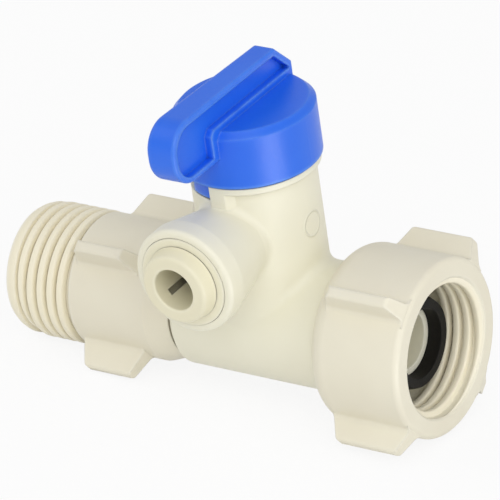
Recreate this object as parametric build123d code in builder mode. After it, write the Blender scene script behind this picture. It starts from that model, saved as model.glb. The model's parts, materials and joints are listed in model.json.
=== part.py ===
"""Quarter-turn angle valve in moulded plastic: a straight run along X, a ball valve in the tower on Z
and a push-in tube outlet that faces -Y. The origin is where the run and the tower cross."""

import os
from math import cos, degrees, radians, sin, sqrt

from build123d import *

# Run of the body, along X
run_bore = 8.4
body_od = 19.2
body_left = -12.9
body_rim_chamfer = 0.9
flange_od = 20.8
flange_thickness = 2.6
nose_od = 10.4
nose_length = 3.3

# Swivel nut and its washer
nut_od = 26.9
nut_length = 15.9
nut_back = 13.8
nut_back_round = 3.2
nut_front_round = 0.9
nut_lip_length = 3.4
lip_clearance = 0.08
flange_clearance = 0.2
nut_thread_od = 20.7
nut_mouth_chamfer = 0.3
washer_od = 16.2
washer_rim = 1.0
washer_front_od = 13.2
washer_length = 5.6
chamber_gap = 0.2

# Wings on the nut and on the adapter
wing_count = 4
wing_turn = 51.0
wing_tip_width = 1.7
wing_root_width = 2.4
wing_root_flare = 1.0
wing_end_run = 1.5
wing_edge_round = 0.55
wing_corner_round = 0.8
nut_wing_height = 3.6
nut_wing_start = 16.4
nut_wing_length = 13.0
adapter_wing_height = 4.1
adapter_wing_gap = 0.8
adapter_wing_length = 11.0

# Adapter with the male thread
adapter_left = -42.3
thread_root_od = 18.5
thread_length = 12.1
thread_lead_chamfer = 0.3
hub_od = 20.3
hub_length = 13.3
hub_cone_length = 3.75
hub_cone_end_od = 17.6
adapter_neck_od = 16.4
spigot_od = 15.2
spigot_length = 5.6
spigot_bead = 0.35
spigot_bead_length = 1.0
spigot_bead_inset = 0.9
spigot_ring_inset = 3.6
spigot_ring_section = 1.6

# Tower on Z, with the ball, the stem and the ring that holds the stem down
tower_od = 18.56
tower_neck_step = 1.38
tower_neck_top = 30.4
tower_collar_stand = 0.87
tower_collar_bottom = 25.3
tower_collar_top = 26.3
tower_base_fillet = 1.6
chamber_bore = 10.8
branch_height = 16.3
ball_floor_gap = 0.3
ball_diameter = 10.0
ball_port = 4.4
inlet_port = 4.8
seat_thickness = 2.4
outlet_seat_bearing_od = 7.4
lower_seat_bearing_od = 5.6
lower_seat_od = 6.6
seat_clearance = 0.03
slot_width = 2.0
slot_depth = 1.5
tongue_clearance = 0.06
stem_gap = 0.15
stem_disc_height = 5.0
stem_neck_od = 6.0
stem_square = 4.2
stem_clearance = 0.06
stem_ring_section = 1.2
stem_ring_inset = 1.5
retainer_gap = 0.1
retainer_bead = 0.3
retainer_bead_length = 1.0

# Stops on the tower that the handle's tab runs between
stop_turn = 90.0
stop_tab_start = 236.0
stop_tab_end = 263.5
stop_tab_clearance = 1.8
stop_wall_spread = 14.0
stop_wall_fade = 22.0
stop_wall_bottom = 15.0

# Handle
drum_overhang = 1.27
drum_rise = 5.1
drum_chamfer = 0.95
drum_wall = 1.5
drum_roof = 2.0
socket_od = 8.8
handle_run_gap = 0.3
lever_near_half = 2.2
lever_far_front = 2.7
lever_far_back = 1.7
lever_far_round = 0.8
lever_height = 5.5
lever_front = -20.9
lever_back = 10.1
lever_back_slope = 3.7
lever_hang = 4.2
lever_top_round = 4.4
lever_under_round = 4.4
lever_rim = 0.9
lever_edge_round = 0.35
lever_recess_depth = 1.2
lever_recess_lift = 1.0
lever_recess_heel = -11.6
lever_root = 1.2
tab_drop = 2.8
tab_clearance = 0.25

# Push-in tube outlet, along -Y
barrel_od = 16.5
barrel_end = 20.3
barrel_root_od = 12.4
barrel_root_sink = 0.88
barrel_cone_end = 17.2
barrel_end_round = 0.7
barrel_base_fillet = 1.2
tube_od = 6.35
tube_room = 0.075
cartridge_head_od = 14.0
cartridge_head_length = 2.0
cartridge_sleeve_od = 12.4
cartridge_length = 6.0
cartridge_cone_length = 2.6
cartridge_cone_od = 11.0
cartridge_proud = 0.15
cartridge_clearance = 0.04
collet_clearance = 0.05
collet_flange_od = 11.6
collet_flange_front_od = 10.6
collet_flange_thickness = 2.4
collet_flange_round = 0.6
collet_mouth_round = 0.25
collet_end_gap = 0.1
collet_sleeve_od = 9.3
collet_head_od = 10.1
collet_head_length = 1.3
collet_inner_gap = 0.3
collet_slits = 4
collet_slit_width = 1.0
slit_turn = 39.0
tooth_width = 2.4
tooth_length = 1.0
tooth_depth = 0.5
tooth_inset = 0.7
spacer_thickness = 1.2
gland_bore = 9.8
gland_clearance = 0.04
tube_ring_section = 1.5
tube_ring_land = 1.7
tube_stop_depth = 3.0

# Seals that move share this gap to the wall they run on
seal_gap = 0.03
snap_clearance = 0.03
groove_side = 0.1

# Places worked out from the driving sizes above
body_r = body_od / 2
bore_r = run_bore / 2
nut_front = nut_back + nut_length
lip_bore_r = body_r + lip_clearance
flange_start = nut_back + nut_lip_length + flange_clearance
flange_end = flange_start + flange_thickness
nose_end = flange_end + nose_length
washer_front = flange_end + washer_length
chamber_end = washer_front + chamber_gap

thread_end = adapter_left + thread_length
hub_end = thread_end + hub_length
cone_end = hub_end + hub_cone_length
adapter_wing_start = thread_end + adapter_wing_gap
spigot_end = body_left + spigot_length
socket_end = spigot_end + flange_clearance
bead_end = spigot_end - spigot_bead_inset
bead_start = bead_end - spigot_bead_length
spigot_ring_place = spigot_end - spigot_ring_inset
spigot_ring_r = spigot_od / 2 - spigot_ring_section / 2
spigot_groove_r = spigot_od / 2 - spigot_ring_section - snap_clearance

tower_neck_od = tower_od - 2 * tower_neck_step
tower_collar_od = tower_od + 2 * tower_collar_stand
collar_clear_r = tower_collar_od / 2 + tab_clearance
drum_od = tower_od + 2 * drum_overhang
drum_bottom = tower_collar_top + handle_run_gap
drum_top = tower_neck_top + drum_rise
lever_top = drum_top + lever_height
lever_under = drum_top - lever_hang
lever_recess_floor = drum_top + lever_recess_lift

ball_r = ball_diameter / 2
chamber_r = chamber_bore / 2
seat_r = ball_r + seat_clearance
seat_hole_r = ball_port / 2
seat_throat = sqrt(seat_r**2 - seat_hole_r**2)
outlet_seat_lip = sqrt(seat_r**2 - (outlet_seat_bearing_od / 2) ** 2)
outlet_seat_back = outlet_seat_lip + seat_thickness
lower_seat_lip = sqrt(seat_r**2 - (lower_seat_bearing_od / 2) ** 2)
lower_seat_back = lower_seat_lip + seat_thickness
chamber_floor = branch_height - ball_r - ball_floor_gap
seat_pocket_floor = branch_height - lower_seat_back
stem_bottom = branch_height + ball_r + stem_gap
stem_shoulder = stem_bottom + stem_disc_height
retainer_bottom = stem_shoulder + retainer_gap
stem_disc_r = chamber_r - stem_clearance
stem_ring_r = chamber_r - seal_gap - stem_ring_section / 2
stem_groove_r = chamber_r - 2 * seal_gap - stem_ring_section
stem_ring_places = (stem_bottom + stem_ring_inset, stem_shoulder - stem_ring_inset)
slot_floor = branch_height + ball_r - slot_depth
tongue_length = 2 * sqrt(ball_r**2 - (ball_r - slot_depth) ** 2) - slot_width / 2
retainer_bead_start = retainer_bottom + retainer_bead_length
retainer_bead_end = retainer_bead_start + retainer_bead_length
drum_roof_bottom = drum_top - drum_roof
stem_top = drum_roof_bottom - retainer_gap
square_bottom = tower_neck_top
socket_bottom = tower_neck_top + handle_run_gap

barrel_root_end = tower_od / 2 - barrel_root_sink
gland_r = gland_bore / 2
tube_hole_r = tube_od / 2 + tube_room
cartridge_face = barrel_end + cartridge_proud
cartridge_inner = cartridge_face - cartridge_length
spacer_inner = cartridge_inner - spacer_thickness
bush_face = spacer_inner - tube_ring_land
collet_flange_back = cartridge_face + collet_end_gap
collet_face = collet_flange_back + collet_flange_thickness
collet_inner = cartridge_inner + collet_inner_gap
tooth_place = collet_inner + tooth_inset + tooth_length / 2
tooth_spread = degrees(tooth_width / tube_hole_r)
tube_ring_r = gland_r - seal_gap - tube_ring_section / 2
lever_heel = -(drum_od - drum_wall) / 2
recess_top = lever_top - lever_rim
recess_front = lever_front + lever_rim
recess_under = lever_under + lever_rim
recess_back = lever_back - lever_rim
recess_slope = lever_back_slope - lever_rim * (sqrt(2) - 1)
tab_outer_r = tower_od / 2
tab_inner_r = tower_neck_od / 2 + 2 * tab_clearance
tab_bottom = drum_bottom - tab_drop
notch_start = stop_tab_start - stop_turn - stop_tab_clearance
notch_end = stop_tab_end + stop_tab_clearance

run_section = Plane.XZ
branch_axis = Axis((0, 0, branch_height), (0, -1, 0))
# Local x runs out along the branch, local y is the radius above its axis
branch_section = Plane(origin=(0, 0, branch_height), x_dir=(0, -1, 0), z_dir=(1, 0, 0))
# Square across the branch, with its normal out along the branch
outlet_plane = Plane(origin=(0, 0, branch_height), x_dir=(1, 0, 0), z_dir=(0, -1, 0))
# Local x runs up the tower, local y is the radius from its axis
tower_section = Plane(origin=(0, 0, 0), x_dir=(0, 0, 1), z_dir=(0, 1, 0))
# The same, down from the ball's centre
lower_section = Plane(origin=(0, 0, branch_height), x_dir=(0, 0, -1), z_dir=(0, 1, 0))


def make_wing(root_radius, height, start, length):
    """One wing above the X axis: its end view drawn out along X, then cut to its side view."""
    tip = root_radius + height
    sunk = root_radius - 2 * wing_root_flare
    end = start + length
    half_root = wing_root_width / 2
    half_tip = wing_tip_width / 2
    flare_foot = half_root + wing_root_flare
    # The flare starts on the hub's own curve
    foot = sqrt(root_radius**2 - flare_foot**2)
    flare_top = foot + wing_root_flare
    with BuildPart() as wing:
        with BuildSketch(Plane(origin=(start, 0, 0), x_dir=(0, 1, 0), z_dir=(1, 0, 0))) as section:
            with BuildLine():
                Polyline((-flare_foot, foot), (-flare_foot, sunk), (flare_foot, sunk), (flare_foot, foot))
                RadiusArc((flare_foot, foot), (half_root, flare_top), wing_root_flare)
                Polyline((half_root, flare_top), (half_tip, tip), (-half_tip, tip), (-half_root, flare_top))
                RadiusArc((-half_root, flare_top), (-flare_foot, foot), wing_root_flare)
            make_face()
            fillet(section.vertices().group_by(Axis.Y)[-1], wing_edge_round)
        extrude(amount=length)
        with BuildSketch(Plane.XZ) as outline:
            with BuildLine():
                Polyline(
                    (start, 0),
                    (start, root_radius),
                    (start + wing_end_run, tip),
                    (end - wing_end_run, tip),
                    (end, root_radius),
                    (end, 0),
                    close=True,
                )
            make_face()
            fillet(outline.vertices().group_by(Axis.Y)[-1], wing_corner_round)
        extrude(amount=root_radius, both=True, mode=Mode.INTERSECT)
    return wing.part


def sector_edges(inner_r, outer_r, start, end):
    """Outline of a part of a ring about the tower, between two angles."""
    inner = CenterArc((0, 0), inner_r, start, end - start)
    outer = CenterArc((0, 0), outer_r, start, end - start)
    return [inner, outer, Line(inner @ 0, outer @ 0), Line(inner @ 1, outer @ 1)]


def ring_solid(plane, axis, place, radius, section):
    """A round-section seal: a circle of the section's diameter turned about an axis."""
    with BuildPart() as ring:
        with BuildSketch(plane):
            with Locations((place, radius)):
                Circle(section / 2)
        revolve(axis=axis)
    return ring.part


def save(piece, name):
    piece.label = name
    export_step(piece, f"parts/{name}.step")


os.makedirs("parts", exist_ok=True)

# Body: run, tower and outlet barrel in one moulding
with BuildPart() as valve_body:
    with BuildSketch(run_section):
        with BuildLine():
            Polyline(
                (body_left, 0),
                (body_left, body_r - body_rim_chamfer),
                (body_left + body_rim_chamfer, body_r),
                (flange_start, body_r),
                (flange_start, flange_od / 2),
                (flange_end, flange_od / 2),
                (flange_end, nose_od / 2),
                (nose_end, nose_od / 2),
                (nose_end, 0),
                close=True,
            )
        make_face()
    revolve(axis=Axis.X)
    with BuildSketch(Plane.XY):
        Circle(tower_od / 2)
    extrude(amount=tower_collar_top)
    tower_edges = valve_body.edges(Select.LAST).filter_by(GeomType.BSPLINE)
    fillet(tower_edges.filter_by(lambda edge: edge.center().Z < body_r), tower_base_fillet)
    with BuildSketch(branch_section):
        with BuildLine():
            Polyline(
                (0, 0),
                (0, barrel_root_od / 2),
                (barrel_root_end, barrel_root_od / 2),
                (barrel_cone_end, barrel_od / 2),
                (barrel_end, barrel_od / 2),
                (barrel_end, 0),
                close=True,
            )
        make_face()
    revolve(axis=branch_axis)
    barrel_edges = valve_body.edges(Select.LAST).filter_by(GeomType.BSPLINE)
    fillet(barrel_edges, barrel_base_fillet)
    fillet(
        valve_body.faces().filter_by(GeomType.PLANE).sort_by(Axis.Y)[0].edges(),
        barrel_end_round,
    )
    # Neck inside the handle, and the collar under it
    with BuildSketch(Plane.XY.offset(tower_collar_top)):
        Circle(tower_neck_od / 2)
    extrude(amount=tower_neck_top - tower_collar_top)
    with BuildSketch(Plane.XY.offset(tower_collar_bottom)):
        Circle(tower_collar_od / 2)
    extrude(amount=tower_collar_top - tower_collar_bottom)
    # Wall beside the branch that stops the handle, up into the collar
    with BuildSketch(Plane.XY.offset(stop_wall_bottom)):
        with BuildLine():
            rim = CenterArc((0, 0), tower_collar_od / 2, notch_end, stop_wall_spread)
            foot = CenterArc((0, 0), tab_inner_r, notch_end, stop_wall_spread + stop_wall_fade)
            Line(rim @ 0, foot @ 0)
            Line(rim @ 1, foot @ 1)
        make_face()
    extrude(amount=tower_collar_top - stop_wall_bottom)
    # Way for the handle's tab, through the collar and into the wall under it
    with BuildSketch(Plane.XY.offset(tab_bottom - tab_clearance)):
        with BuildLine():
            sector_edges(tab_inner_r - tab_clearance, collar_clear_r, notch_start, notch_end)
        make_face()
    extrude(amount=tower_collar_top - tab_bottom + tab_clearance, mode=Mode.SUBTRACT)
    # Run bore and the socket for the adapter
    with BuildSketch(run_section):
        with BuildLine():
            Polyline(
                (body_left, 0),
                (body_left, spigot_od / 2 + snap_clearance),
                (socket_end, spigot_od / 2 + snap_clearance),
                (socket_end, bore_r),
                (nose_end, bore_r),
                (nose_end, 0),
                close=True,
            )
        make_face()
    revolve(axis=Axis.X, mode=Mode.SUBTRACT)
    # Groove that the adapter's bead snaps into
    with BuildSketch(run_section):
        with BuildLine():
            Polyline(
                (bead_start - snap_clearance, bore_r),
                (bead_start - snap_clearance, spigot_od / 2 + spigot_bead + snap_clearance),
                (bead_end + snap_clearance, spigot_od / 2 + spigot_bead + snap_clearance),
                (bead_end + snap_clearance, bore_r),
                close=True,
            )
        make_face()
    revolve(axis=Axis.X, mode=Mode.SUBTRACT)
    # Ball chamber, open at the top, and the port up from the run
    with BuildSketch(tower_section):
        with BuildLine():
            Polyline(
                (0, 0),
                (0, inlet_port / 2),
                (seat_pocket_floor, inlet_port / 2),
                (seat_pocket_floor, lower_seat_od / 2 + gland_clearance),
                (chamber_floor, lower_seat_od / 2 + gland_clearance),
                (chamber_floor, chamber_r),
                (tower_neck_top, chamber_r),
                (tower_neck_top, 0),
                close=True,
            )
        make_face()
    revolve(axis=Axis.Z, mode=Mode.SUBTRACT)
    # Groove for the retainer's bead
    with BuildSketch(tower_section):
        with BuildLine():
            Polyline(
                (retainer_bead_start, stem_neck_od / 2),
                (retainer_bead_start, chamber_r + retainer_bead + snap_clearance),
                (retainer_bead_end + snap_clearance, chamber_r + retainer_bead + snap_clearance),
                (retainer_bead_end + snap_clearance, stem_neck_od / 2),
                close=True,
            )
        make_face()
    revolve(axis=Axis.Z, mode=Mode.SUBTRACT)
    # Stepped bore of the outlet
    with BuildSketch(branch_section):
        with BuildLine():
            Polyline(
                (0, 0),
                (0, gland_r),
                (cartridge_inner, gland_r),
                (cartridge_inner, cartridge_sleeve_od / 2 + cartridge_clearance),
                (cartridge_face - cartridge_head_length, cartridge_sleeve_od / 2 + cartridge_clearance),
                (cartridge_face - cartridge_head_length, cartridge_head_od / 2 + cartridge_clearance),
                (cartridge_face, cartridge_head_od / 2 + cartridge_clearance),
                (cartridge_face, 0),
                close=True,
            )
        make_face()
    revolve(axis=branch_axis, mode=Mode.SUBTRACT)
save(valve_body.part, "valve_body")

# Adapter: male thread zone, winged hub and the spigot that snaps into the body
adapter_wing = make_wing(hub_od / 2, adapter_wing_height, adapter_wing_start, adapter_wing_length)
with BuildPart() as male_adapter:
    with BuildSketch(run_section):
        with BuildLine():
            Polyline(
                (adapter_left, 0),
                (adapter_left, thread_root_od / 2 - thread_lead_chamfer),
                (adapter_left + thread_lead_chamfer, thread_root_od / 2),
                (thread_end, thread_root_od / 2),
                (thread_end, hub_od / 2),
                (hub_end, hub_od / 2),
                (cone_end, hub_cone_end_od / 2),
                (cone_end, adapter_neck_od / 2),
                (body_left, adapter_neck_od / 2),
                (body_left, spigot_od / 2),
                (bead_start, spigot_od / 2),
                (bead_start, spigot_od / 2 + spigot_bead),
                (bead_end - spigot_bead_length / 2, spigot_od / 2 + spigot_bead),
                (bead_end, spigot_od / 2),
                (spigot_end, spigot_od / 2),
                (spigot_end, 0),
                close=True,
            )
        make_face()
    revolve(axis=Axis.X)
    for index in range(wing_count):
        add(adapter_wing.rotate(Axis.X, -(wing_turn + index * 360 / wing_count)))
    # Groove for the seal ring on the spigot, then the bore through everything
    with BuildSketch(run_section):
        with Locations((spigot_ring_place, spigot_od / 2)):
            Rectangle(spigot_ring_section + 2 * groove_side, 2 * (spigot_od / 2 - spigot_groove_r))
    revolve(axis=Axis.X, mode=Mode.SUBTRACT)
    with BuildSketch(run_section):
        with BuildLine():
            Polyline(
                (adapter_left, 0),
                (adapter_left, bore_r),
                (spigot_end, bore_r),
                (spigot_end, 0),
                close=True,
            )
        make_face()
    revolve(axis=Axis.X, mode=Mode.SUBTRACT)
save(male_adapter.part, "male_adapter")
save(
    ring_solid(run_section, Axis.X, spigot_ring_place, spigot_ring_r, spigot_ring_section),
    "adapter_seal_ring",
)

# Swivel nut: back lip, room for the body's flange, thread zone and wings
nut_wing = make_wing(nut_od / 2, nut_wing_height, nut_wing_start, nut_wing_length)
with BuildPart() as swivel_nut:
    with BuildSketch(run_section) as nut_profile:
        with BuildLine():
            Polyline(
                (nut_back, 0),
                (nut_back, nut_od / 2),
                (nut_front, nut_od / 2),
                (nut_front, 0),
                close=True,
            )
        make_face()
        fillet(nut_profile.vertices().group_by(Axis.Y)[-1].sort_by(Axis.X)[0], nut_back_round)
        fillet(nut_profile.vertices().group_by(Axis.Y)[-1].sort_by(Axis.X)[-1], nut_front_round)
    revolve(axis=Axis.X)
    for index in range(wing_count):
        add(nut_wing.rotate(Axis.X, -(wing_turn + index * 360 / wing_count)))
    with BuildSketch(run_section):
        with BuildLine():
            Polyline(
                (nut_back, 0),
                (nut_back, lip_bore_r),
                (flange_start - flange_clearance, lip_bore_r),
                (flange_start - flange_clearance, flange_od / 2 + flange_clearance),
                (chamber_end, flange_od / 2 + flange_clearance),
                (chamber_end, nut_thread_od / 2),
                (nut_front - nut_mouth_chamfer, nut_thread_od / 2),
                (nut_front, nut_thread_od / 2 + nut_mouth_chamfer),
                (nut_front, 0),
                close=True,
            )
        make_face()
    revolve(axis=Axis.X, mode=Mode.SUBTRACT)
save(swivel_nut.part, "swivel_nut")

# Cone washer on the body's nose
with BuildPart() as inlet_washer:
    with BuildSketch(run_section):
        with BuildLine():
            Polyline(
                (flange_end, nose_od / 2 + snap_clearance),
                (flange_end, washer_od / 2),
                (flange_end + washer_rim, washer_od / 2),
                (washer_front, washer_front_od / 2),
                (washer_front, nose_od / 2 + snap_clearance),
                close=True,
            )
        make_face()
    revolve(axis=Axis.X)
save(inlet_washer.part, "inlet_washer")

# Ball with a port that turns from below to the outlet, and a slot for the stem
with BuildPart() as valve_ball:
    with Locations((0, 0, branch_height)):
        Sphere(ball_r)
    with BuildSketch(Plane.XY.offset(branch_height)):
        Circle(ball_port / 2)
    extrude(amount=-ball_diameter, mode=Mode.SUBTRACT)
    with BuildSketch(outlet_plane):
        Circle(ball_port / 2)
    extrude(amount=ball_diameter, mode=Mode.SUBTRACT)
    with Locations((0, 0, branch_height)):
        Sphere(ball_port / 2, mode=Mode.SUBTRACT)
    with BuildSketch(Plane.XY.offset(slot_floor)):
        Rectangle(slot_width, ball_diameter)
    extrude(amount=ball_diameter, mode=Mode.SUBTRACT)
save(valve_ball.part, "valve_ball")


def make_seat(plane, axis, outer_r, bearing_r, lip):
    """A seat ring drawn along local x from the ball's centre, with a hollow that fits the ball."""
    with BuildPart() as seat:
        with BuildSketch(plane):
            with BuildLine():
                Polyline(
                    (seat_throat, seat_hole_r),
                    (lip + seat_thickness, seat_hole_r),
                    (lip + seat_thickness, outer_r),
                    (lip, outer_r),
                    (lip, bearing_r),
                )
                RadiusArc((lip, bearing_r), (seat_throat, seat_hole_r), seat_r)
            make_face()
        revolve(axis=axis)
    return seat.part


save(
    make_seat(
        branch_section,
        branch_axis,
        gland_r - gland_clearance,
        outlet_seat_bearing_od / 2,
        outlet_seat_lip,
    ),
    "outlet_seat",
)
save(
    make_seat(lower_section, Axis.Z, lower_seat_od / 2, lower_seat_bearing_od / 2, lower_seat_lip),
    "lower_seat",
)

# Stem: tongue in the ball's slot, sealed disc, neck and the square that carries the handle
with BuildPart() as valve_stem:
    with BuildSketch(tower_section):
        with BuildLine():
            Polyline(
                (stem_bottom, 0),
                (stem_bottom, stem_disc_r),
                (stem_shoulder, stem_disc_r),
                (stem_shoulder, stem_neck_od / 2),
                (square_bottom, stem_neck_od / 2),
                (square_bottom, 0),
                close=True,
            )
        make_face()
    revolve(axis=Axis.Z)
    with BuildSketch(Plane.XY.offset(square_bottom)):
        Rectangle(stem_square, stem_square)
    extrude(amount=stem_top - square_bottom)
    with BuildSketch(Plane.XY.offset(slot_floor + tongue_clearance)):
        Rectangle(slot_width - 2 * tongue_clearance, tongue_length)
    extrude(amount=stem_bottom - slot_floor - tongue_clearance)
    for place in stem_ring_places:
        with BuildSketch(tower_section):
            with Locations((place, stem_disc_r)):
                Rectangle(stem_ring_section + 2 * groove_side, 2 * (stem_disc_r - stem_groove_r))
        revolve(axis=Axis.Z, mode=Mode.SUBTRACT)
save(valve_stem.part, "valve_stem")
for name, place in zip(("lower_stem_ring", "upper_stem_ring"), stem_ring_places):
    save(ring_solid(tower_section, Axis.Z, place, stem_ring_r, stem_ring_section), name)

# Ring that snaps into the tower over the stem's shoulder
with BuildPart() as stem_retainer:
    with BuildSketch(tower_section):
        with BuildLine():
            Polyline(
                (retainer_bottom, stem_neck_od / 2 + stem_clearance),
                (retainer_bottom, chamber_r - snap_clearance),
                (retainer_bead_start, chamber_r - snap_clearance),
                (retainer_bead_start + retainer_bead_length / 2, chamber_r + retainer_bead),
                (retainer_bead_end, chamber_r + retainer_bead),
                (retainer_bead_end, chamber_r - snap_clearance),
                (tower_neck_top, chamber_r - snap_clearance),
                (tower_neck_top, stem_neck_od / 2 + stem_clearance),
                close=True,
            )
        make_face()
    revolve(axis=Axis.Z)
save(stem_retainer.part, "stem_retainer")

# Lever of the handle: its tapered plan, cut to its side view, with softened flanks
with BuildPart() as lever:
    with BuildSketch(Plane.XY.offset(lever_under)):
        with BuildLine():
            Polyline(
                (-lever_far_front, lever_front),
                (-lever_far_back, lever_back),
                (lever_near_half, lever_back),
                (lever_near_half, lever_front),
                close=True,
            )
        make_face()
    extrude(amount=lever_top - lever_under)
    with BuildSketch(Plane.YZ) as lever_side:
        with BuildLine():
            Polyline(
                (lever_back - lever_back_slope, lever_top),
                (lever_back, lever_top - lever_back_slope),
                (lever_back, drum_top - lever_root),
                (lever_heel, drum_top - lever_root),
                (lever_heel, lever_under),
                (lever_front, lever_under),
                (lever_front, lever_top),
                close=True,
            )
        make_face()
        fillet(lever_side.vertices().group_by(Axis.X)[0].sort_by(Axis.Y)[-1], lever_top_round)
        fillet(lever_side.vertices().group_by(Axis.X)[0].sort_by(Axis.Y)[0], lever_under_round)
    extrude(amount=drum_od, both=True, mode=Mode.INTERSECT)
    fillet(lever.faces().sort_by(Axis.X)[-1].edges(), lever_edge_round)
    fillet(lever.faces().sort_by(Axis.X)[0].edges(), lever_far_round)

# Handle: drum over the tower, lever across it with a recess in its near side, and the stop tab
with BuildPart() as handle:
    with BuildSketch(tower_section):
        with BuildLine():
            Polyline(
                (drum_bottom, drum_od / 2 - drum_wall),
                (drum_bottom, drum_od / 2),
                (drum_top - drum_chamfer, drum_od / 2),
                (drum_top, drum_od / 2 - drum_chamfer),
                (drum_top, 0),
                (socket_bottom, 0),
                (socket_bottom, socket_od / 2),
                (drum_roof_bottom, socket_od / 2),
                (drum_roof_bottom, drum_od / 2 - drum_wall),
                close=True,
            )
        make_face()
    revolve(axis=Axis.Z)
    add(lever.part)
    with BuildSketch(Plane.XY.offset(socket_bottom)):
        Rectangle(stem_square + 2 * stem_clearance, stem_square + 2 * stem_clearance)
    extrude(amount=drum_roof_bottom - socket_bottom, mode=Mode.SUBTRACT)
    with BuildSketch(Plane.YZ.offset(lever_near_half - lever_recess_depth)) as recess:
        with BuildLine():
            Polyline(
                (recess_back - recess_slope, recess_top),
                (recess_back, recess_top - recess_slope),
                (recess_back, lever_recess_floor),
                (lever_recess_heel + lever_rim, lever_recess_floor),
                (lever_recess_heel, lever_recess_floor - lever_rim),
                (lever_recess_heel, recess_under),
                (recess_front, recess_under),
                (recess_front, recess_top),
                close=True,
            )
        make_face()
        fillet(recess.vertices().group_by(Axis.X)[0].sort_by(Axis.Y)[-1], lever_top_round - lever_rim)
        fillet(recess.vertices().group_by(Axis.X)[0].sort_by(Axis.Y)[0], lever_under_round - lever_rim)
    extrude(amount=lever_recess_depth, mode=Mode.SUBTRACT)
    with BuildSketch(Plane.XY.offset(tab_bottom)):
        with BuildLine():
            sector_edges(tab_inner_r, tab_outer_r, stop_tab_start, stop_tab_end)
        make_face()
    extrude(amount=tab_drop + drum_wall)
save(handle.part, "handle")

# Cartridge that closes the outlet's mouth and holds the collet
with BuildPart() as outlet_cartridge:
    with BuildSketch(branch_section):
        with BuildLine():
            Polyline(
                (cartridge_inner, cartridge_cone_od / 2),
                (cartridge_inner, cartridge_sleeve_od / 2),
                (cartridge_face - cartridge_head_length, cartridge_sleeve_od / 2),
                (cartridge_face - cartridge_head_length, cartridge_head_od / 2),
                (cartridge_face, cartridge_head_od / 2),
                (cartridge_face, collet_sleeve_od / 2 + collet_clearance),
                (cartridge_inner + cartridge_cone_length, collet_sleeve_od / 2 + collet_clearance),
                close=True,
            )
        make_face()
    revolve(axis=branch_axis)
save(outlet_cartridge.part, "outlet_cartridge")

# Collet: release flange outside, slit sleeve with a wider end inside
with BuildPart() as tube_collet:
    with BuildSketch(branch_section) as collet_profile:
        with BuildLine():
            Polyline(
                (collet_inner, tube_hole_r),
                (collet_inner, collet_head_od / 2),
                (collet_inner + collet_head_length, collet_sleeve_od / 2),
                (collet_flange_back, collet_sleeve_od / 2),
                (collet_flange_back, collet_flange_od / 2),
                (collet_face, collet_flange_front_od / 2),
                (collet_face, tube_hole_r),
                close=True,
            )
        make_face()
        fillet(collet_profile.vertices().group_by(Axis.X)[-1].sort_by(Axis.Y)[-1], collet_flange_round)
        fillet(collet_profile.vertices().group_by(Axis.X)[-1].sort_by(Axis.Y)[0], collet_mouth_round)
    revolve(axis=branch_axis)
    with BuildSketch(outlet_plane.offset(collet_inner)):
        for index in range(collet_slits // 2):
            Rectangle(collet_head_od, collet_slit_width, rotation=slit_turn + index * 360 / collet_slits)
    extrude(amount=collet_flange_back - collet_inner, mode=Mode.SUBTRACT)
    # Groove that carries the teeth
    with BuildSketch(branch_section):
        with Locations((tooth_place, tube_hole_r)):
            Rectangle(tooth_length + 2 * snap_clearance, 2 * (tooth_depth + snap_clearance))
    revolve(axis=branch_axis, mode=Mode.SUBTRACT)
save(tube_collet.part, "tube_collet")

# Steel teeth, one in each finger of the collet
with BuildPart() as one_tooth:
    with BuildSketch(branch_section):
        with BuildLine():
            Polyline(
                (tooth_place - tooth_length / 2, tube_hole_r),
                (tooth_place - tooth_length / 2, tube_hole_r + tooth_depth),
                (tooth_place + tooth_length / 2, tube_hole_r + tooth_depth),
                close=True,
            )
        make_face()
    revolve(axis=branch_axis, revolution_arc=tooth_spread)
with BuildPart() as collet_teeth:
    for index in range(collet_slits):
        finger_middle = slit_turn + (index + 0.5) * 360 / collet_slits
        add(one_tooth.part.rotate(branch_axis, finger_middle - tooth_spread / 2))
save(collet_teeth.part, "collet_teeth")

# Seal ring on the tube, the spacer over it and the bush that the tube stops against
tube_ring_place = bush_face + tube_ring_land / 2
save(
    ring_solid(branch_section, branch_axis, tube_ring_place, tube_ring_r, tube_ring_section),
    "tube_seal_ring",
)
with BuildPart() as ring_spacer:
    with BuildSketch(outlet_plane.offset(spacer_inner)):
        Circle(gland_r - gland_clearance)
        Circle(tube_hole_r, mode=Mode.SUBTRACT)
    extrude(amount=spacer_thickness)
save(ring_spacer.part, "ring_spacer")

with BuildPart() as tube_stop:
    with BuildSketch(branch_section):
        with BuildLine():
            Polyline(
                (outlet_seat_back, seat_hole_r),
                (outlet_seat_back, gland_r - gland_clearance),
                (bush_face, gland_r - gland_clearance),
                (bush_face, tube_hole_r),
                (bush_face - tube_stop_depth, tube_hole_r),
                (bush_face - tube_stop_depth, seat_hole_r),
                close=True,
            )
        make_face()
    revolve(axis=branch_axis)
save(tube_stop.part, "tube_stop")
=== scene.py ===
import json
import math

import bmesh
import bpy
from mathutils import Matrix, Vector


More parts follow.
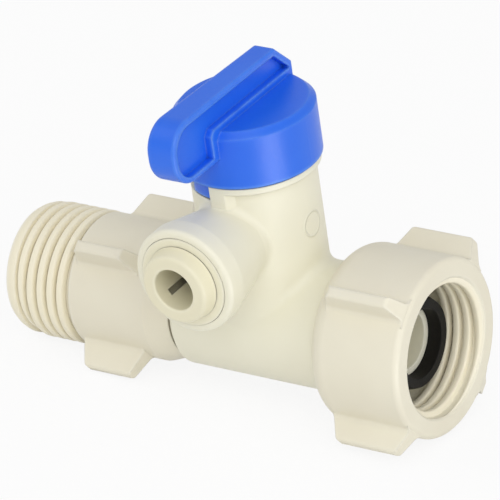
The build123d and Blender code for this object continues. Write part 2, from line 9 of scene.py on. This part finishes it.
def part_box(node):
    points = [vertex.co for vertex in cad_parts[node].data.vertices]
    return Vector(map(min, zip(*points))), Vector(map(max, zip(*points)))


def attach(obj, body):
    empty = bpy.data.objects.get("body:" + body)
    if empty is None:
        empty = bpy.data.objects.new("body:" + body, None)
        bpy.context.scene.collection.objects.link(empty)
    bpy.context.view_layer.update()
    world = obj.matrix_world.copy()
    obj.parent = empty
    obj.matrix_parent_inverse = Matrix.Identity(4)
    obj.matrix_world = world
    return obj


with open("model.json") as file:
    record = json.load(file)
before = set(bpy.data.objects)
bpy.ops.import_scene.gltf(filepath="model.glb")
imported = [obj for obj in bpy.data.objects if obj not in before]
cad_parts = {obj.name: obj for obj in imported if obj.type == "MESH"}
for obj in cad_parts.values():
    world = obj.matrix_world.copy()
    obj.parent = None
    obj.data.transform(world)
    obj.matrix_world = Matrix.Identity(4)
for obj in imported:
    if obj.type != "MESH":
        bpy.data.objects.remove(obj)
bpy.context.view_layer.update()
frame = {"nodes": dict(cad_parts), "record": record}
nodes = frame["nodes"]
scene = bpy.context.scene
mm = 0.001
inch = 25.4 * mm
print("frame loaded:", len(nodes), "nodes")


class Sock:
    # one output of a node, so that maths on it reads as maths
    def __init__(self, tree, out):
        self.tree, self.out = tree, out

    def make(self, kind, settings=None, pick=0, **links):
        node = self.tree.nodes.new(kind)
        for key, value in (settings or {}).items():
            setattr(node, key, value)
        plug(node, **links)
        return Sock(self.tree, node.outputs[pick])

    def math(self, operation, a, b=0.0, clamp=False):
        return self.make("ShaderNodeMath", {"operation": operation, "use_clamp": clamp}, i0=a, i1=b)

    def __add__(self, other):
        return self.math("ADD", self, other)

    __radd__ = __add__

    def __sub__(self, other):
        return self.math("SUBTRACT", self, other)

    def __rsub__(self, other):
        return self.math("SUBTRACT", other, self)

    def __mul__(self, other):
        return self.math("MULTIPLY", self, other)

    __rmul__ = __mul__

    def __truediv__(self, other):
        return self.math("DIVIDE", self, other)

    def __rtruediv__(self, other):
        return self.math("DIVIDE", other, self)

    def clamped(self):
        return self.math("ADD", self, 0.0, clamp=True)

    def blend(self, under, over):
        # a colour that goes from one to the other with this value
        return self.make("ShaderNodeMix", {"data_type": "RGBA"}, pick=2, i0=self, i6=under, i7=over)

    def noise(self, scale, detail):
        return self.make("ShaderNodeTexNoise", Vector=self, Scale=scale, Detail=detail)


def plug(node, **links):
    # inputs go by name, with _ for a space, or by number, as i0 and i1
    for key, value in links.items():
        byNumber = key[0] == "i" and key[1:].isdigit()
        where = node.inputs[int(key[1:]) if byNumber else key.replace("_", " ")]
        if isinstance(value, Sock):
            value.tree.links.new(value.out, where)
        else:
            where.default_value = value


def linear(red, green, blue):
    # the colour as a paint chart gives it, 0 to 255, turned to light
    def one(value):
        value = value / 255
        return value / 12.92 if value <= 0.04045 else ((value + 0.055) / 1.055) ** 2.4

    return (one(red), one(green), one(blue), 1.0)


def startMaterial(name):
    material = bpy.data.materials.new(name)
    material.use_nodes = True
    tree = material.node_tree
    tree.nodes.clear()
    output = tree.nodes.new("ShaderNodeOutputMaterial")
    shader = tree.nodes.new("ShaderNodeBsdfPrincipled")
    tree.links.new(shader.outputs[0], output.inputs[0])
    coords = tree.nodes.new("ShaderNodeTexCoord")
    return material, shader, Sock(tree, coords.outputs["Object"])


# Moulded plastic: mottled colour, fine mould grain, edges softened, outer edges painted pale as a painted
# highlight, creases painted darker as painted shade
moulding = {
    "mottleDetail": 3.0, "grainDetail": 2.0, "flowDetail": 1.0, "highlightPatchDetail": 3.0, "noiseMiddle": 0.5,
    "edgeRays": 6, "paintedHighlightRays": 6, "paintedHighlightGain": 2.0, "highlightPatchGain": 2.0, "paintedShadeRays": 8,
}


def mouldedPlastic(finish):
    material, shader, place = startMaterial(finish["name"])
    middle = moulding["noiseMiddle"]
    mottle = place.noise(finish["mottleScale"], moulding["mottleDetail"])
    grain = place.noise(finish["grainScale"], moulding["grainDetail"])
    flow = place.noise(finish["flowScale"], moulding["flowDetail"])
    tone = (mottle - middle) * finish["mottle"] + (flow - middle) * finish["flow"] + middle
    colour = tone.clamped().blend(linear(*finish["shade"]), linear(*finish["light"]))
    # thin material shows where an edge stands out, and there the colour gets a painted highlight, laid on
    # in patches
    thickness = place.make(
        "ShaderNodeAmbientOcclusion", {"inside": True, "samples": moulding["paintedHighlightRays"]}, pick="AO",
        Distance=finish["paintedHighlightWidth"],
    )
    highlightPatches = place.noise(finish["highlightPatchScale"], moulding["highlightPatchDetail"])
    edgeHighlightMask = ((1 - thickness) * moulding["paintedHighlightGain"]).clamped() * (highlightPatches * moulding["highlightPatchGain"]).clamped()
    colour = (edgeHighlightMask * finish["paintedEdgeHighlight"]).blend(colour, linear(*finish["paintedHighlightColour"]))
    # painted shade: the colour is darkened in creases and recesses, where the surface is hemmed in
    openness = place.make(
        "ShaderNodeAmbientOcclusion", {"samples": moulding["paintedShadeRays"]}, pick="AO",
        Distance=finish["paintedShadeReach"],
    )
    paintedShade = (1 - openness * finish["paintedShadeFrom"]).clamped() * finish["paintedShade"]
    colour = paintedShade.blend(colour, linear(*finish["paintedShadeColour"]))
    rough = finish["rough"] + (grain - middle) * finish["roughGrain"]
    rough = rough + (mottle - middle) * finish["roughMottle"]
    height = grain * finish["grainHeight"] + mottle * finish["mottleHeight"]
    if "mark" in finish:
        height = height + pinMark(place, finish["mark"])
    edge = place.make("ShaderNodeBevel", {"samples": moulding["edgeRays"]}, Radius=finish["edge"])
    bump = place.make("ShaderNodeBump", Strength=finish["bump"], Distance=mm, Height=height, Normal=edge)
    plug(shader, Base_Color=colour, Roughness=rough, Normal=bump, IOR=finish["index"])
    return material


def pinMark(place, mark):
    # a faint ring where an ejector pin met the mould, on the +X side only
    x, y, z = (place.make("ShaderNodeSeparateXYZ", pick=axis, Vector=place) for axis in "XYZ")
    out = y - mark["y"]
    up = z - mark["z"]
    far = place.math("SQRT", out * out + up * up)
    ring = 1 - place.math("ABSOLUTE", far - mark["radius"]) / mark["width"]
    return ring.clamped() * place.math("GREATER_THAN", x, 0.0) * mark["height"]


creamFinish = {
    "name": "cream_plastic", "light": (238, 233, 213), "shade": (230, 223, 202),
    "mottle": 1.2, "mottleScale": 90.0, "flow": 1.0, "flowScale": 35.0,
    "grainScale": 2600.0, "rough": 0.44, "roughGrain": 0.1, "roughMottle": 0.08,
    "grainHeight": 0.012, "mottleHeight": 0.02, "bump": 0.6, "edge": 0.3 * mm,
    "paintedEdgeHighlight": 0.32, "paintedHighlightWidth": 0.5 * mm, "paintedHighlightColour": (252, 249, 236), "highlightPatchScale": 500.0, "index": 1.49,
    "paintedShade": 0.85, "paintedShadeReach": 1.6 * mm, "paintedShadeFrom": 2.8, "paintedShadeColour": (104, 90, 56),
}
bodyFinish = dict(
    creamFinish, name="cream_plastic_body", light=(242, 239, 219), shade=(235, 231, 209),
    mark={"y": 0.0, "z": 16.9 * mm, "radius": 1.9 * mm, "width": 0.25 * mm, "height": 0.25},
)
# the threads: a yellower cream, painted lighter than the adapter and nut they stand on, with less painted
# shade
threadPaintedLighterFinish = dict(
    creamFinish, name="cream_thread_painted_lighter", light=(250, 243, 219), shade=(244, 236, 210), paintedShade=0.3,
)
# the collet and the ring: deeper painted shade in the collet's slits and around its flange
colletFinish = dict(
    creamFinish, name="cream_acetal", light=(236, 231, 203), shade=(227, 220, 190), rough=0.36,
    paintedShadeFrom=1.9, paintedShadeColour=(58, 48, 22),
)
ringFinish = dict(
    creamFinish, name="cream_ring", light=(241, 237, 213), shade=(234, 229, 203),
    paintedShade=1.0, paintedShadeFrom=1.6, paintedShadeColour=(46, 38, 18),
)
acetalFinish = dict(
    creamFinish, name="white_acetal", light=(236, 235, 231), shade=(226, 225, 220), rough=0.34,
)
seatFinish = dict(
    creamFinish, name="seat_plastic", light=(240, 240, 238), shade=(229, 229, 226), rough=0.5,
)
blueFinish = {
    "name": "blue_plastic", "light": (38, 113, 238), "shade": (24, 100, 230),
    "mottle": 1.0, "mottleScale": 120.0, "flow": 1.0, "flowScale": 45.0,
    "grainScale": 2400.0, "rough": 0.36, "roughGrain": 0.16, "roughMottle": 0.1,
    "grainHeight": 0.016, "mottleHeight": 0.02, "bump": 0.6, "edge": 0.35 * mm,
    "paintedEdgeHighlight": 0.66, "paintedHighlightWidth": 0.6 * mm, "paintedHighlightColour": (108, 164, 245), "highlightPatchScale": 420.0, "index": 1.49,
    "paintedShade": 0.8, "paintedShadeReach": 1.0 * mm, "paintedShadeFrom": 1.7, "paintedShadeColour": (8, 44, 150),
}
rubberFinish = {
    "name": "black_rubber", "light": (20, 18, 15), "shade": (11, 10, 8),
    "mottle": 1.4, "mottleScale": 220.0, "flow": 0.6, "flowScale": 60.0,
    "grainScale": 3000.0, "rough": 0.62, "roughGrain": 0.12, "roughMottle": 0.12,
    "grainHeight": 0.03, "mottleHeight": 0.02, "bump": 0.7, "edge": 0.2 * mm,
    "paintedEdgeHighlight": 0.2, "paintedHighlightWidth": 0.3 * mm, "paintedHighlightColour": (40, 37, 34), "highlightPatchScale": 700.0, "index": 1.3,
    "paintedShade": 0.5, "paintedShadeReach": 0.6 * mm, "paintedShadeFrom": 2.0, "paintedShadeColour": (6, 6, 5),
}
steelFinish = {
    "name": "tooth_steel", "light": (206, 206, 208), "shade": (168, 168, 172),
    "stretch": (1.0, 8.0, 1.0), "scale": 900.0, "detail": 2.0, "rough": 0.25, "roughLines": 0.2,
}


def shearedSteel(finish):
    material, shader, place = startMaterial(finish["name"])
    stretched = place.make("ShaderNodeMapping", Vector=place, Scale=finish["stretch"])
    lines = stretched.noise(finish["scale"], finish["detail"])
    colour = lines.blend(linear(*finish["shade"]), linear(*finish["light"]))
    plug(shader, Base_Color=colour, Roughness=finish["rough"] + lines * finish["roughLines"], Metallic=1.0)
    return material


finishes = {
    "cream_plastic": mouldedPlastic(creamFinish),
    "cream_body": mouldedPlastic(bodyFinish),
    "cream_collet": mouldedPlastic(colletFinish),
    "cream_ring": mouldedPlastic(ringFinish),
    "cream_thread_painted_lighter": mouldedPlastic(threadPaintedLighterFinish),
    "blue_plastic": mouldedPlastic(blueFinish),
    "black_rubber": mouldedPlastic(rubberFinish),
    "white_acetal": mouldedPlastic(acetalFinish),
    "seat_plastic": mouldedPlastic(seatFinish),
    "tooth_steel": shearedSteel(steelFinish),
}
# mouldings whose cream differs a little from the others
ownLook = {"valve_body": "cream_body", "tube_collet": "cream_collet", "outlet_cartridge": "cream_ring"}
for entry in frame["record"]["subparts"]:
    part = nodes[entry["node"]]
    look = ownLook.get(entry["node"], entry["material_slot"])
    part.data.materials.clear()
    part.data.materials.append(finishes[look])
print("finishes set:", len(finishes))


# Pipe threads: one ridge wound along a helix and laid along the run
winding = {
    "sizes": (
        "Radius", "Start", "Pitch", "Turns", "Rise", "Root Width", "Crest Width", "Round", "Sunk", "Fade",
    ),
    "stepsPerTurn": 96, "roundSteps": 4, "thinnest": 0.02,  # thinnest is the share left at the ends
}


def ridgeTree(name):
    tree = bpy.data.node_groups.new(name, "GeometryNodeTree")
    face = tree.interface
    face.new_socket(name="Geometry", in_out="OUTPUT", socket_type="NodeSocketGeometry")
    for label in winding["sizes"]:
        face.new_socket(name=label, in_out="INPUT", socket_type="NodeSocketFloat")
    face.new_socket(name="Finish", in_out="INPUT", socket_type="NodeSocketMaterial")
    given = tree.nodes.new("NodeGroupInput")
    want = {out.name: Sock(tree, out) for out in given.outputs if out.name}
    turns = want["Turns"]
    helix = turns.make(
        "GeometryNodeCurveSpiral", Resolution=winding["stepsPerTurn"], Rotations=turns,
        Start_Radius=want["Radius"], End_Radius=want["Radius"], Height=want["Pitch"] * turns,
    )
    upright = helix.make("GeometryNodeSetCurveNormal", {"mode": "Z_UP"}, Curve=helix)
    # the ridge runs out at both ends
    along = helix.make("GeometryNodeSplineParameter", pick="Factor")
    toEnd = along.math("MINIMUM", along, 1.0 - along) * turns
    full = along.math("MINIMUM", toEnd / want["Fade"], 1.0)
    size = along.math("MAXIMUM", full, winding["thinnest"])
    # its section: wide at the root, which is sunk in the wall, narrow at the crest
    corners = []
    for level, width, side in (
        ("Sunk", "Root Width", -0.5), ("Sunk", "Root Width", 0.5),
        ("Rise", "Crest Width", 0.5), ("Rise", "Crest Width", -0.5),
    ):
        corners.append(helix.make("ShaderNodeCombineXYZ", X=want[level] * -1.0, Y=want[width] * side))
    section = helix.make(
        "GeometryNodeCurvePrimitiveQuadrilateral", {"mode": "POINTS"},
        Point_1=corners[0], Point_2=corners[1], Point_3=corners[2], Point_4=corners[3],
    )
    softened = section.make(
        "GeometryNodeFilletCurve", {"mode": "POLY"},
        Curve=section, Count=winding["roundSteps"], Radius=want["Round"], Limit_Radius=True,
    )
    ridge = helix.make(
        "GeometryNodeCurveToMesh", Curve=upright, Profile_Curve=softened, Scale=size, Fill_Caps=True,
    )
    lying = ridge.make("GeometryNodeTransform", Geometry=ridge, Rotation=(0.0, math.pi / 2, 0.0))
    shift = ridge.make("ShaderNodeCombineXYZ", X=want["Start"])
    moved = ridge.make("GeometryNodeTransform", Geometry=lying, Translation=shift)
    smooth = ridge.make("GeometryNodeSetShadeSmooth", Geometry=moved)
    real = ridge.make("GeometryNodeRealizeInstances", Geometry=smooth)
    painted = ridge.make("GeometryNodeSetMaterial", Geometry=real, Material=want["Finish"])
    plug(tree.nodes.new("NodeGroupOutput"), i0=painted)
    return tree


threadTree = ridgeTree("wound_ridge")


def addPiece(name, mesh, body):
    piece = bpy.data.objects.new(name, mesh)
    scene.collection.objects.link(piece)
    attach(piece, body)


def windThread(name, thread, body):
    holder = bpy.data.objects.new(name + "_start", bpy.data.meshes.new(name + "_start"))
    scene.collection.objects.link(holder)
    wound = holder.modifiers.new("thread", "NODES")
    wound.node_group = threadTree
    given = dict(thread, Finish=finishes["cream_thread_painted_lighter"])
    for item in threadTree.interface.items_tree:
        if item.in_out == "INPUT":
            wound[item.identifier] = given[item.name]
    bpy.context.view_layer.update()
    made = bpy.data.meshes.new_from_object(holder.evaluated_get(bpy.context.evaluated_depsgraph_get()))
    made.name = name
    bpy.data.objects.remove(holder)
    addPiece(name, made, body)
    reach = [math.hypot(vertex.co.y, vertex.co.z) / mm for vertex in made.vertices]
    print(name, "from radius", round(min(reach), 2), "to", round(max(reach), 2), "mm")


threadsPerInch = 14
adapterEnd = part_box("male_adapter")[0].x
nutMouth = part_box("swivel_nut")[1].x
wallRadius = {mount["name"]: mount["dims"]["r_mm"] * mm for mount in frame["record"]["mounts"]}

maleThread = {
    "Radius": wallRadius["outlet_thread"], "Start": adapterEnd + 2.6 * mm,
    "Pitch": inch / threadsPerInch, "Turns": 5.1, "Rise": 1.0 * mm, "Root Width": 1.75 * mm,
    "Crest Width": 0.95 * mm, "Round": 0.34 * mm, "Sunk": -0.2 * mm, "Fade": 0.35,
}
windThread("male_thread_ridge", maleThread, "valve")

# Plain rim before the first ridge, its section as (distance from the end, radius) in mm
leadRim = {
    "steps": 96, "sharpFrom": math.radians(50.0),
    "section": [(0.12, 9.05), (0.12, 9.3), (0.9, 9.78), (1.7, 10.05), (2.1, 9.95), (2.35, 9.05)],
}


def turnRim(rim):
    points, faces = [], []
    count = len(rim["section"])
    for step in range(rim["steps"]):
        angle = 2 * math.pi * step / rim["steps"]
        here, there = step * count, (step + 1) % rim["steps"] * count
        for index, (along, radius) in enumerate(rim["section"]):
            out = radius * mm
            points.append((adapterEnd + along * mm, out * math.cos(angle), out * math.sin(angle)))
            across = (index + 1) % count
            faces.append((here + index, here + across, there + across, there + index))
    mesh = bpy.data.meshes.new("thread_lead_rim")
    mesh.from_pydata(points, [], faces)
    mesh.shade_smooth()
    mesh.set_sharp_from_angle(angle=rim["sharpFrom"])
    mesh.materials.append(finishes["cream_thread_painted_lighter"])
    return mesh


addPiece("thread_lead_rim", turnRim(leadRim), "valve")

femaleThread = {
    "Radius": wallRadius["inlet_thread"], "Start": nutMouth - 7.6 * mm,
    "Pitch": inch / threadsPerInch, "Turns": 4.05, "Rise": -0.85 * mm, "Root Width": 1.75 * mm,
    "Crest Width": 0.95 * mm, "Round": 0.34 * mm, "Sunk": 0.35 * mm, "Fade": 0.3,
}
windThread("female_thread_ridge", femaleThread, "nut")
print("threads wound")


# Floor: the plane that the valve comes to rest on, which is the lowest side of its hull
# that the balance point stands over
stand = {"balance": Vector((-2.5, -1.2, 7.0)) * mm, "size": 6.0}


def restingSide(parts, balance):
    hull = bmesh.new()
    for part in parts:
        for vertex in part.data.vertices:
            hull.verts.new(vertex.co)
    bmesh.ops.convex_hull(hull, input=hull.verts)
    for side in sorted(hull.faces, key=lambda face: face.normal.z):
        feet = [vertex.co.copy() for vertex in side.verts]
        down = side.normal.copy()
        under = balance + down * (feet[0] - balance).dot(down)
        edges = zip(feet, feet[1:] + feet[:1])
        if all((after - before).cross(under - before).dot(down) >= 0 for before, after in edges):
            break
    hull.free()
    return under, -down


middle, upward = restingSide(nodes.values(), stand["balance"])
sideways = Vector((1, 0, 0)).cross(upward).normalized()
forward = upward.cross(sideways).normalized()
half = stand["size"] / 2
corners = [
    middle + sideways * across + forward * ahead
    for across, ahead in ((-half, half), (-half, -half), (half, -half), (half, half))
]
ground = bpy.data.meshes.new("floor")
ground.from_pydata([list(corner) for corner in corners], [], [(0, 1, 2, 3)])
floor = bpy.data.objects.new("floor", ground)
scene.collection.objects.link(floor)
print("floor laid")

# White paper: it glows in the picture and in reflections, so that its shadow stays faint
whitePaper = {"grey": (0.9, 0.9, 0.9, 1.0), "glow": (1.0, 1.0, 1.0, 1.0), "glowShare": 0.88}
paper = bpy.data.materials.new("white_paper")
paper.use_nodes = True
paperTree = paper.node_tree
paperTree.nodes.clear()
paths = paperTree.nodes.new("ShaderNodeLightPath").outputs
seen = (Sock(paperTree, paths["Is Camera Ray"]) + Sock(paperTree, paths["Is Glossy Ray"])).clamped()
white = seen.make("ShaderNodeBsdfDiffuse", Color=whitePaper["grey"])
glow = seen.make("ShaderNodeEmission", Color=whitePaper["glow"], Strength=1.0)
sheet = seen.make("ShaderNodeMixShader", i0=seen * whitePaper["glowShare"], i1=white, i2=glow)
plug(paperTree.nodes.new("ShaderNodeOutputMaterial"), i0=sheet)
ground.materials.append(paper)

# Studio: a plain white dome, dimmer on the valve than in the picture, and three soft lamps
studio = {
    "dome": (1.0, 1.0, 1.0, 1.0), "domeLevel": 0.62, "aim": Vector((0, 0, 10)) * mm,
    "lamps": [
        {"name": "key", "place": (0.45, -0.65, 0.7), "size": 0.7, "power": 3.0},
        {"name": "fill", "place": (0.95, -0.2, 0.35), "size": 0.7, "power": 2.0},
        {"name": "side", "place": (-0.75, -0.3, 0.75), "size": 0.7, "power": 1.1},
    ],
}
sky = bpy.data.worlds.new("studio")
scene.world = sky
sky.use_nodes = True
skyTree = sky.node_tree
skyTree.nodes.clear()
inPicture = Sock(skyTree, skyTree.nodes.new("ShaderNodeLightPath").outputs["Is Camera Ray"])
level = inPicture * (1.0 - studio["domeLevel"]) + studio["domeLevel"]
dome = inPicture.make("ShaderNodeBackground", Color=studio["dome"], Strength=level)
plug(skyTree.nodes.new("ShaderNodeOutputWorld"), i0=dome)

for lamp in studio["lamps"]:
    light = bpy.data.lights.new(lamp["name"], "AREA")
    light.size = lamp["size"]
    light.energy = lamp["power"]
    holder = bpy.data.objects.new(lamp["name"], light)
    holder.location = lamp["place"]
    holder.rotation_mode = "QUATERNION"
    holder.rotation_quaternion = (studio["aim"] - holder.location).to_track_quat("-Z", "Y")
    scene.collection.objects.link(holder)


def standing(place, right, up, back):
    # where a lamp or a camera stands and how its own axes lie
    return Matrix.Translation(place) @ Matrix((right, up, back)).transposed().to_4x4()


# Streak of light on the floor, which only reflections show: the sheen on the drum's side.
# The place on the drum mirrors what lies along the direction given
sheen = {
    "drum": Vector((8.1, -6.7, 29.8)) * mm, "along": Vector((0.84, -0.29, -0.463)),
    "length": 0.075, "width": 0.05, "power": 0.052, "lift": 1.0 * mm,
}
fall = sheen["along"].dot(upward)
reach = (middle - sheen["drum"]).dot(upward) / fall
spot = sheen["drum"] + sheen["along"] * reach + upward * sheen["lift"]
lengthwise = (sheen["along"] - upward * fall).normalized()
streak = bpy.data.lights.new("sheen", "AREA")
streak.shape = "RECTANGLE"
streak.size, streak.size_y = sheen["length"], sheen["width"]
streak.energy = sheen["power"]
streakHolder = bpy.data.objects.new("sheen", streak)
streakHolder.matrix_world = standing(spot, lengthwise, lengthwise.cross(upward), -upward)
streakHolder.visible_diffuse = False
scene.collection.objects.link(streakHolder)
scene.view_settings.view_transform = "Standard"
print("studio lit")

# Camera, at the photo's viewing angle
shot = {
    "lens": 378.064, "sensor": 36.0, "nearest": 0.01, "farthest": 20.0,
    "place": (0.4072089, -0.5371708, 0.3766621), "right": (0.829355, 0.542864, -0.132171),
    "up": (-0.166468, 0.465905, 0.869035), "back": (0.533347, -0.698736, 0.47677),
}
lens = bpy.data.cameras.new("camera")
lens.sensor_width = shot["sensor"]
lens.lens = shot["lens"]
lens.clip_start = shot["nearest"]
lens.clip_end = shot["farthest"]
camera = bpy.data.objects.new("camera", lens)
camera.matrix_world = standing(shot["place"], shot["right"], shot["up"], shot["back"])
scene.collection.objects.link(camera)
scene.camera = camera
print("camera set")
